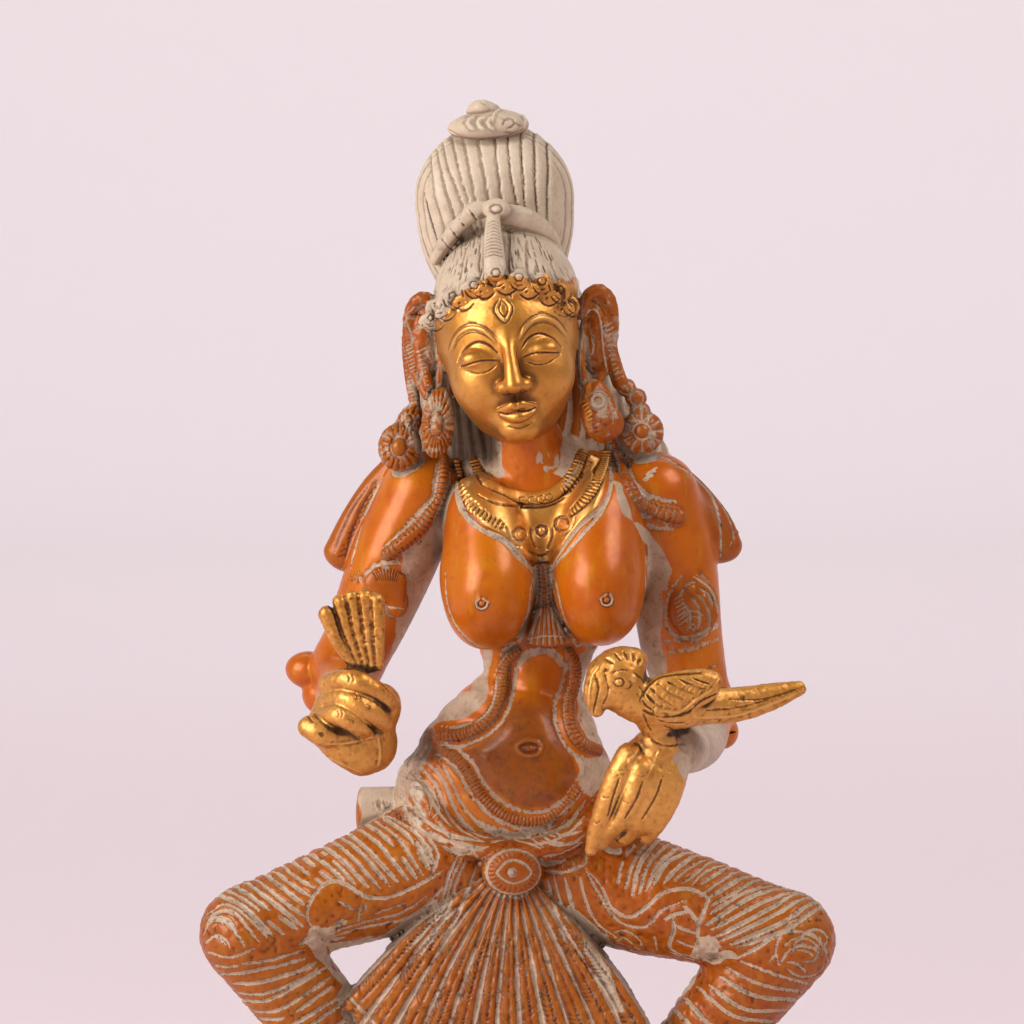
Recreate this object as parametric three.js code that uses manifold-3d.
// A cast brass figure of the goddess Parvati, in one piece with a low round lotus plinth.
// She stands in a deep half-sitting dance pose: knees turned out, heels nearly together, a fan of
// pleated cloth open between the thighs. Her right hand lifts a lotus bud and a parrot perches on
// the wrist of her hanging left hand. Millimetres, +Z up, she faces -Y, and the origin is the centre
// of the plinth's flat underside.
import * as THREE from "three";
import { mergeVertices } from "three/addons/utils/BufferGeometryUtils.js";
import Module from "manifold-3d";

const wasm = await Module();
wasm.setup();

// ---- driving sizes ----
const HEIGHT = 330; // underside to the tip of the topknot
const PLINTH = { height: 22, radius: 63.6, petals: 13 };
const HEAD = { at: [-2.3, -3, 262.5], r: [18.6, 20, 24.5], lean: -8 };
const BUN = { at: [-6.2, 14, 300], r: [21.7, 15.5, 24.5], ribs: 13 };
const FAN = { apex: [-1.6, 126.5], y: -17, radius: 60, left: 50, right: 40, pleats: 12, thick: 11, ridge: 1.5 };
const LEG_FOLD = { pitch: 8.6, depth: 1.5 }; // the cloth's ridges round the legs
const BUD = { foot: [-41.4, -53, 182], tip: [-42.6, -55.5, 202.6], rFoot: 5, rTip: 8.2, ridges: 7 };

const DEG = Math.PI / 180;

// ---- helpers ----
function flip(geometry) {
  const g = geometry.index ? geometry.toNonIndexed() : geometry.clone();
  const p = g.getAttribute("position");
  for (let i = 0; i < p.count; i += 3) {
    const a = [p.getX(i), p.getY(i), p.getZ(i)];
    p.setXYZ(i, p.getX(i + 1), p.getY(i + 1), p.getZ(i + 1));
    p.setXYZ(i + 1, ...a);
  }
  return g;
}

// a closed mesh as a solid, turned inside out where its faces point inwards
function solid(geometry) {
  const g = geometry.index ? geometry.toNonIndexed() : geometry.clone();
  const bare = new THREE.BufferGeometry().setAttribute("position", g.getAttribute("position"));
  const merged = mergeVertices(bare, 1e-4);
  const made = new wasm.Manifold(
    new wasm.Mesh({
      numProp: 3,
      vertProperties: merged.attributes.position.array,
      triVerts: new Uint32Array(merged.index.array),
    }),
  );
  return made.volume() < 0 ? solid(flip(g)) : made;
}

// an ellipsoid: centre, three radii, turns about X, Y and Z in degrees
function ellipsoid(at, r, turn = [0, 0, 0], seg = 10) {
  const g = new THREE.SphereGeometry(1, seg, Math.max(4, Math.round(seg * 0.6)));
  g.rotateX(Math.PI / 2); // poles up
  g.scale(r[0], r[1], r[2]);
  g.applyMatrix4(
    new THREE.Matrix4().makeRotationFromEuler(new THREE.Euler(turn[0] * DEG, turn[1] * DEG, turn[2] * DEG, "XYZ")),
  );
  g.translate(at[0], at[1], at[2]);
  return solid(g);
}

// a limb: a capsule bent along a smooth line through stations [x, y, z, half width, half depth],
// where the depth is measured towards `side`; fold(s) is added to both, s in mm along it
function limb(stations, { seg = 8, rings = 6, caps = 2, side = [0, 1, 0], fold = null } = {}) {
  const line = new THREE.CatmullRomCurve3(stations.map((p) => new THREE.Vector3(p[0], p[1], p[2])), false, "centripetal");
  const n = stations.length - 1;
  const lengths = line.getLengths(200);
  const at = (t, k) => {
    const f = Math.min(n - 1e-9, Math.max(0, t * n)),
      i = Math.floor(f),
      w = f - i,
      s = w * w * (3 - 2 * w);
    return stations[i][k] * (1 - s) + stations[i + 1][k] * s;
  };
  const g = new THREE.CapsuleGeometry(1, 10, caps, seg, rings);
  const p = g.getAttribute("position");
  const ref = new THREE.Vector3(...side);
  for (let i = 0; i < p.count; i++) {
    const x = p.getX(i),
      y = p.getY(i),
      z = p.getZ(i);
    const t = Math.min(1, Math.max(0, (y + 5) / 10));
    const beyond = Math.max(0, Math.abs(y) - 5) * Math.sign(y);
    const c = line.getPoint(t),
      tan = line.getTangent(t);
    const u = new THREE.Vector3().crossVectors(tan, ref).normalize();
    const v = new THREE.Vector3().crossVectors(u, tan).normalize();
    const add = fold && Math.abs(y) <= 5 ? fold(lengths[Math.round(t * 200)]) : 0;
    const a = at(t, 3) + add,
      b = at(t, 4) + add;
    c.addScaledVector(u, -x * a)
      .addScaledVector(v, z * b)
      .addScaledVector(tan, beyond * Math.min(a, b));
    p.setXYZ(i, c.x, c.y, c.z);
  }
  return solid(g);
}

const parts = [];
const add = (...s) => parts.push(...s);

// ---- the plinth: a turned disc with two rims, its hollow waist swelling into lotus petals ----
{
  const R = PLINTH.radius,
    H = PLINTH.height;
  const profile = [
    [0, 0], [R, 0], [R, 3.8], [R - 3, 5], [R - 4, 10], [R - 6.4, 15.6], [R - 3, 17], [R - 3.6, H], [0, H],
  ].map(([r, z]) => new THREE.Vector2(r, z));
  const g = new THREE.LatheGeometry(profile, PLINTH.petals * 3);
  g.rotateX(Math.PI / 2);
  const p = g.getAttribute("position");
  for (let i = 0; i < p.count; i++) {
    const z = p.getZ(i),
      r = Math.hypot(p.getX(i), p.getY(i));
    if (z < 4.5 || z > 16 || r < 1) continue;
    const a = Math.atan2(p.getY(i), p.getX(i));
    const k = 1 + (1.6 * Math.cos(a * PLINTH.petals) - 0.6) / r; // petals swell from sharp valleys
    p.setXYZ(i, p.getX(i) * k, p.getY(i) * k, z);
  }
  add(solid(g));
}

// ---- the trunk ----
add(
  limb(
    [
      [-2.5, 3, 122, 24, 16],
      [-2.5, 3, 133, 28, 18.5],
      [-1.5, 2, 147, 28, 17],
      [1.6, 2, 160, 20.5, 14],
      [4, 3, 171, 13.6, 11.6],
      [5.2, 4, 184, 16.2, 12.6],
      [7, 5, 199, 22, 15],
      [8, 6, 213, 27, 15.5],
      [7, 6, 223, 24, 12],
      [4, 5, 231, 11.5, 9],
    ],
    { seg: 13, rings: 11 },
  ),
  ellipsoid([3, -6.5, 149], [17.5, 12, 20], [0, 0, 0], 10), // belly
  ellipsoid([-8.3, -11, 199.4], [12.6, 15.5, 15.2], [0, 6, 0], 12), // breasts
  ellipsoid([21.8, -11, 200.4], [12.6, 15.5, 15.2], [0, -6, 0], 12),
  limb([[3, 4, 226, 9.4, 9], [1.2, 0, 244, 8.4, 8.4]], { rings: 1, caps: 1 }), // neck
  ellipsoid([6.5, -8.2, 190.5], [5, 6, 7.5], [0, 0, 0], 6), // tassel of the long necklace
  // the necklace, a collar that hangs from the sides of the neck
  limb([[-13, -2, 230, 3, 2.4], [-9, -8, 219, 4.4, 2.4], [5, -10.4, 210, 5.4, 2.4], [20, -8, 219, 4.4, 2.4], [25, -2, 231, 3, 2.4]], { seg: 5, rings: 4, caps: 1 }),
);

// ---- the head, its hair, the bun and its ornaments ----
add(
  ellipsoid(HEAD.at, HEAD.r, [0, HEAD.lean, 0], 13),
  ellipsoid([0.5, -8.5, 249.5], [13.2, 12, 12.5], [0, HEAD.lean, 0], 10), // jaw
  limb([[-1.9, -22.2, 266, 1.5, 1.5], [-0.4, -24.6, 256.4, 2.4, 2.4]], { seg: 5, rings: 2, caps: 1 }), // nose
  ellipsoid([0.3, -20.6, 249.6], [4.6, 2.6, 2.2], [0, HEAD.lean, 0], 6), // mouth
  ellipsoid([-4.8, -0.6, 274.5], [20.2, 21.2, 16.4], [0, HEAD.lean, 0], 12), // hair over the brow
  limb(
    [
      [-21, 3, 282, 2.4, 2.4],
      [-15.5, -4, 291.5, 2.4, 2.4],
      [-6.2, -8, 297, 2.6, 2.6],
      [5, -5, 292.5, 2.4, 2.4],
      [13, 3, 285, 2.4, 2.4],
    ],
    { seg: 5, rings: 6, caps: 1 },
  ), // band at the foot of the bun
  ellipsoid([-6.3, -10.5, 297.6], [3.6, 2.6, 3.6], [0, 0, 0], 6),
  limb(
    [
      [-6.3, -11, 294.5, 2.7, 1.7],
      [-6, -17.5, 288, 3, 1.7],
      [-5.6, -21.4, 280.5, 3.2, 1.7],
    ],
    { seg: 5, rings: 3, caps: 1 },
  ), // ornament down the parting
);
// the roll of curls along the hairline
{
  const at = [-96, -60, -24, 12, 48, 84].map((d) => {
    const a = d * DEG;
    return [-5 + 19.4 * Math.sin(a), -1 - 20.4 * Math.cos(a), 277.4 - 2.2 * Math.abs(Math.sin(a)) - 0.9 * Math.sin(a), 2, 2];
  });
  add(limb(at, { seg: 5, rings: 18, caps: 1, side: [0, 0, 1], fold: (s) => 0.7 * Math.cos((2 * Math.PI * s) / 7.4) }));
}
{
  // the bun: a dome, widest above its middle, whose ribs run up to a flat knot
  const g = new THREE.SphereGeometry(1, BUN.ribs * 2, 7);
  g.rotateX(Math.PI / 2);
  const p = g.getAttribute("position");
  for (let i = 0; i < p.count; i++) {
    const x = p.getX(i),
      y = p.getY(i),
      z = p.getZ(i);
    const round = Math.hypot(x, y);
    const rib = 1 + (round > 1e-6 ? 0.022 * Math.cos(BUN.ribs * Math.atan2(y, x)) * Math.min(1, round * 1.6) : 0);
    const narrow = z < 0 ? 1 - 0.16 * z * z : 1 + 0.05 * Math.sin(z * Math.PI);
    p.setXYZ(i, x * rib * narrow * BUN.r[0], y * rib * narrow * BUN.r[1], z * (z < 0 ? 1.35 : 1) * BUN.r[2]);
  }
  g.rotateY(-3 * DEG);
  g.translate(...BUN.at);
  add(
    solid(g),
    ellipsoid([-7.9, 9.5, HEIGHT - 6.6], [10.8, 8.4, 3.8], [8, -3, 0], 10),
    ellipsoid([-9.4, 6.5, HEIGHT - 2.6], [4, 4, 2.6], [0, 0, 0], 6),
  );
}
// long ears, ear drops, and the rosettes that lie on the shoulders
for (const [sx, ear, drop, rose] of [
  [-1, [-22.4, 3, 261], [-22.6, -5.6, 242.6], [-31.8, 1, 236.8]],
  [1, [19.3, 4, 263], [21.6, -5.6, 246.6], [32.2, 1, 241.8]],
]) {
  add(
    ellipsoid([ear[0] + sx * 0.8, ear[1], ear[2] + 1], [5, 5.5, 14.4], [0, sx * 8, 0], 7),
    ellipsoid(drop, [6, 4.4, 9.2], [0, sx * -8, 0], 7),
    ellipsoid(rose, [6.6, 5, 8.4], [0, sx * -24, 0], 7),
  );
}
// the hair that falls behind the neck on to the shoulders
add(
  limb(
    [
      [-4, 11, 282, 18, 10],
      [-2.4, 12, 268, 26, 9.5],
      [-1, 12, 254, 30, 9],
      [1, 12, 240, 35.5, 9.5],
      [4, 11, 227, 38.6, 10],
      [6, 10, 214, 32, 8],
    ],
    { seg: 10, rings: 6, caps: 1 },
  ),
);

// ---- the arms, with the scarf ends that fall outside them ----
add(
  limb([[-27, 6, 222, 11.5, 11.5], [-33.5, 7, 206, 11.8, 11.8], [-40.5, 9, 189, 10.6, 10.6], [-46.6, 8.5, 175.5, 9, 9], [-46.6, -9, 169.6, 7.6, 7.6], [-43.4, -40, 168.6, 6.4, 6.4]], { seg: 9, rings: 11, side: [1, 0, 0] }),
  limb([[38, 6, 222, 11.5, 12], [42, 7, 205, 11.5, 12], [44.5, 9, 184, 11, 11.4], [49.2, 8.5, 162.5, 9.4, 9.4], [48, -9, 158, 8, 8], [42.5, -36, 159.6, 6.6, 6.6]], { seg: 9, rings: 12, side: [1, 0, 0] }),
  limb([[-36, 12, 231, 4.8, 3.8], [-43, 12.5, 219, 6.8, 4.2], [-48.4, 12, 206, 6.8, 4.2]], { seg: 6, rings: 3, caps: 1 }),
  limb([[42, 13, 232.6, 4.8, 3.8], [50.6, 12.5, 223, 6.8, 4.2], [56, 12, 209.4, 5.8, 4.2]], { seg: 6, rings: 3, caps: 1 }),
  ellipsoid([-57, 12, 174.2], [7, 6, 5.4], [0, 8, 0], 7),
  ellipsoid([-53, 11, 168], [6.4, 6, 6], [0, 0, 0], 6),
  ellipsoid([56.6, 12, 156.6], [4.6, 5, 4.6], [0, 0, 0], 6),
  // armlets and the strings of beads that hang over the arms
  limb([[-31, -4.4, 201, 8.4, 2.6], [-43.6, -3, 196.4, 8.4, 2.6]], { seg: 6, rings: 2, caps: 1 }),
  ellipsoid([43.8, -3.4, 193.6], [6, 3.4, 8.8], [0, -8, 0], 6),
  limb([[-20.6, -4, 229.5, 2, 2], [-21.4, -8.5, 218, 2.4, 2.4], [-26, -8.4, 209.5, 3.2, 2.8], [-33.4, -6, 202, 3, 2.6]], { seg: 5, rings: 4, caps: 1 }),
  limb([[29.4, -4, 231, 2, 2], [31.2, -8, 221.5, 2.4, 2.4], [37.4, -8.4, 216, 3.2, 2.6], [44, -5.6, 215.4, 3, 2.4]], { seg: 5, rings: 4, caps: 1 }),
);

// ---- her right hand and its lotus bud ----
add(
  ellipsoid([-39, -49, 167.5], [10.4, 9, 10.6], [0, 35, 0], 9),
  // three fingers curled round the stem, one above the other
  limb([[-44, -51, 166, 7, 6.6], [-43, -53, 172.5, 7.6, 7], [-41, -52, 180.5, 7, 6.4]], { seg: 9, rings: 8, caps: 1, fold: (s) => 0.9 * Math.cos((2 * Math.PI * (s - 2)) / 6) }),
  limb([[-47, -50, 164, 4, 4], [-52, -55, 169, 3.4, 3.4]], { seg: 5, rings: 1, caps: 1, side: [1, 0, 0] }), // thumb
);
{
  // the bud: a flaring stem of ridged petals, cut off at the top
  const g = new THREE.CylinderGeometry(1, 1, 1, BUD.ridges * 2, 2);
  const p = g.getAttribute("position");
  for (let i = 0; i < p.count; i++) {
    const x = p.getX(i),
      y = p.getY(i) + 0.5,
      z = p.getZ(i),
      round = Math.hypot(x, z);
    const swell = BUD.rFoot + (BUD.rTip - BUD.rFoot) * Math.sin(Math.min(1, y * 1.25) * (Math.PI / 2)) - 3.6 * Math.max(0, y - 0.8);
    const rib = round > 1e-6 ? 1 + 0.07 * Math.cos(BUD.ridges * Math.atan2(z, x)) : 1;
    const c = BUD.foot.map((v, k) => v + (BUD.tip[k] - v) * y);
    p.setXYZ(i, c[0] + x * swell * rib, c[1] - z * swell * rib * 0.72, c[2]);
  }
  add(solid(g));
}

// ---- her left hand and the parrot on its wrist ----
add(
  ellipsoid([36, -44, 158], [9, 8, 12.6], [0, 34, 0], 9),
  limb([[28.4, -46, 153, 4, 3.6], [23.4, -46, 142.5, 3.4, 3], [20.8, -43, 135.4, 2.8, 2.5]], { seg: 6, rings: 3, caps: 1 }),
  limb([[32.6, -48, 150.6, 4, 3.4], [29.2, -49, 141, 3.6, 3], [24.8, -45, 134.4, 3, 2.5]], { seg: 6, rings: 3, caps: 1 }),
  limb([[38.6, -45, 152, 4.2, 4.2], [36, -46, 144, 3.6, 3.6], [34, -45, 139, 2.8, 2.8]], { seg: 5, rings: 2, caps: 1 }),
  limb([[25.6, -40, 136, 4, 4], [27, -24, 131, 5, 5]], { seg: 6, rings: 1, caps: 1, side: [0, 0, 1] }), // finger tips run on to the thigh
);
add(
  ellipsoid([26.8, -54, 179.6], [7.6, 5.6, 8], [0, -8, 0], 8),
  limb([[21.8, -54, 179.5, 3.2, 3.8], [20.4, -55, 174.6, 2.6, 3], [21.2, -55.4, 171.4, 1.7, 2]], { seg: 6, rings: 3, caps: 1 }),
  limb([[27, -53, 177, 6, 5], [34, -51, 173.6, 6.6, 6], [43, -49.5, 172.6, 6.6, 6.4], [52, -48, 172.2, 5, 5]], { side: [0, 0, 1], rings: 4, seg: 7, caps: 1 }),
  limb([[50, -48, 172.4, 5, 4.6], [61, -46, 172.8, 4, 3], [70, -44.6, 175, 3, 2], [74, -44, 177, 1.8, 1.4]], { side: [0, 0, 1], rings: 5, seg: 6, caps: 1 }),
  ellipsoid([41.4, -53.4, 175.4], [10.6, 3.4, 4.6], [0, -8, 4], 6),
  ellipsoid([41.4, -45.4, 175.4], [10.6, 3.4, 4.6], [0, -8, -4], 6),
  limb([[36.4, -49.6, 169, 4.4, 4.4], [34.8, -47, 163, 5, 5]], { seg: 6, rings: 1, caps: 1 }),
);

// ---- hips, legs and the cloth ----
const folds = (s) => LEG_FOLD.depth * (0.5 + 0.5 * Math.cos((2 * Math.PI * s) / LEG_FOLD.pitch));
const leg = (stations) => {
  let length = 0;
  for (let i = 1; i < stations.length; i++) length += Math.hypot(...[0, 1, 2].map((k) => stations[i][k] - stations[i - 1][k]));
  return limb(stations, { seg: 10, caps: 2, rings: 2 * Math.round(length / LEG_FOLD.pitch), fold: folds });
};
add(
  ellipsoid([-2.5, 5, 131], [31, 20, 20], [0, 0, 0], 11),
  leg([[-19, 0, 126, 16.5, 17], [-34, -4, 120.2, 15.8, 15.8], [-53, -10, 113.6, 14, 14], [-71.8, -14.6, 106.8, 12.4, 12.4]]),
  leg([[-71.8, -14.6, 106.8, 13.2, 13], [-60.4, -10, 91, 12.8, 12.6], [-45, -5, 70, 11, 11], [-29, 0, 46, 8, 8], [-19, 2.6, 31, 6.4, 6.4]]),
  leg([[15, 0, 121.6, 16.5, 17], [32, -4, 115.6, 16, 16], [51, -10, 111, 14.6, 14.4], [71.6, -14.6, 105, 12.4, 12.4]]),
  leg([[71.6, -14.6, 105, 13.2, 13], [60.4, -10, 90, 12.8, 12.6], [45, -5, 69, 11, 11], [26.6, 0, 46, 8, 8], [15, 2.6, 31, 6.4, 6.4]]),
  limb([[-26, 8, 137, 7, 7.6], [-43.4, 9, 137, 5.6, 6.6]], { side: [0, 0, 1], seg: 7, rings: 1 }), // rolled end of the sash
  limb([[22, 8, 134, 7, 7.6], [38, 9, 133, 5.6, 6.6]], { side: [0, 0, 1], seg: 7, rings: 1 }),
);
// feet, turned out
for (const sx of [-1, 1]) {
  const X = (x) => -2 + sx * x;
  add(
    limb([[X(10), 9, 27, 6, 5.4], [X(18), 0.6, 28.4, 6.6, 6.6], [X(30), -10.6, 25.6, 6.6, 4.4], [X(40), -19, 23.9, 5.6, 2.6]], { seg: 8, rings: 4, caps: 1, side: [0, 0, 1] }),
    ellipsoid([X(16.6), 2.6, 33], [8, 8, 3.2], [0, 0, 0], 7),
  );
}
// the fall of cloth between the legs, down to the plinth
add(limb([[-2, 6, 122, 21, 13], [-2, 5, 92, 18, 10], [-2, 3, 62, 17.5, 8.6], [-2, 2, 26, 15.5, 8.4]], { seg: 10, rings: 3, caps: 1 }));
{
  // the open fan: a slab of pleats that spread from the buckle
  const g = new THREE.BoxGeometry(1, 1, 1, FAN.pleats * 2, 1, 2);
  const p = g.getAttribute("position");
  for (let i = 0; i < p.count; i++) {
    const u = p.getX(i) + 0.5,
      front = p.getY(i) < 0,
      v = p.getZ(i) + 0.5; // v = 0 at the hem
    const r = 12 + (FAN.radius - 12) * (1 - v);
    const spread = -FAN.left + (FAN.left + FAN.right) * u;
    const a = spread * (1 + 0.22 * v) * DEG; // the pleats straighten as they fall
    const wave = front ? FAN.ridge * Math.cos(2 * Math.PI * FAN.pleats * u) * (1 - 0.6 * v) : 0;
    const hem = v < 0.01 ? 0.9 * Math.cos(2 * Math.PI * FAN.pleats * u) : 0;
    const bulge = 6 * Math.sin((1 - v) * Math.PI * 0.5) - 5 * Math.pow(Math.abs(spread) / 50, 2) * (0.35 + 0.65 * (1 - v));
    p.setXYZ(i, FAN.apex[0] + (r + hem) * Math.sin(a), FAN.y + (front ? -wave - bulge : FAN.thick), FAN.apex[1] - (r + hem) * Math.cos(a));
  }
  add(solid(g));
}
// sash and buckle
add(
  limb([[-29.4, -4, 147, 3.4, 5], [-18, -14.6, 134, 3.8, 4.6], [-2, -19, 128.6, 3.8, 4.4], [14, -15, 132.4, 3.8, 4.6], [25, -4, 143, 3.4, 5]], { seg: 6, rings: 7, caps: 1 }),
  ellipsoid([-1.6, -22.4, 125.2], [8, 3.4, 6.2], [0, 0, 0], 9),
);

// ---- one casting ----
const casting = wasm.Manifold.union(parts).simplify(0.5).decompose().sort((a, b) => b.volume() - a.volume())[0];

const out = casting.getMesh();
const positions = new Float32Array(out.numVert * 3);
for (let i = 0; i < out.numVert; i++) for (let k = 0; k < 3; k++) positions[i * 3 + k] = out.vertProperties[i * out.numProp + k];
const geometry = new THREE.BufferGeometry().setAttribute("position", new THREE.BufferAttribute(positions, 3)).setIndex(new THREE.BufferAttribute(out.triVerts, 1));
// the origin is the middle of the whole figure's box, on the plinth's underside
geometry.computeBoundingBox();
const box = geometry.boundingBox;
geometry.translate(-(box.min.x + box.max.x) / 2, -(box.min.y + box.max.y) / 2, -box.min.z);

const figure = new THREE.Mesh(
  geometry,
  new THREE.MeshStandardMaterial({ color: new THREE.Color(0.72, 0.3, 0.08), roughness: 0.38, metalness: 0.85 }),
);
figure.name = "parvati_figure";

const group = new THREE.Group();
group.add(figure);

export default group;
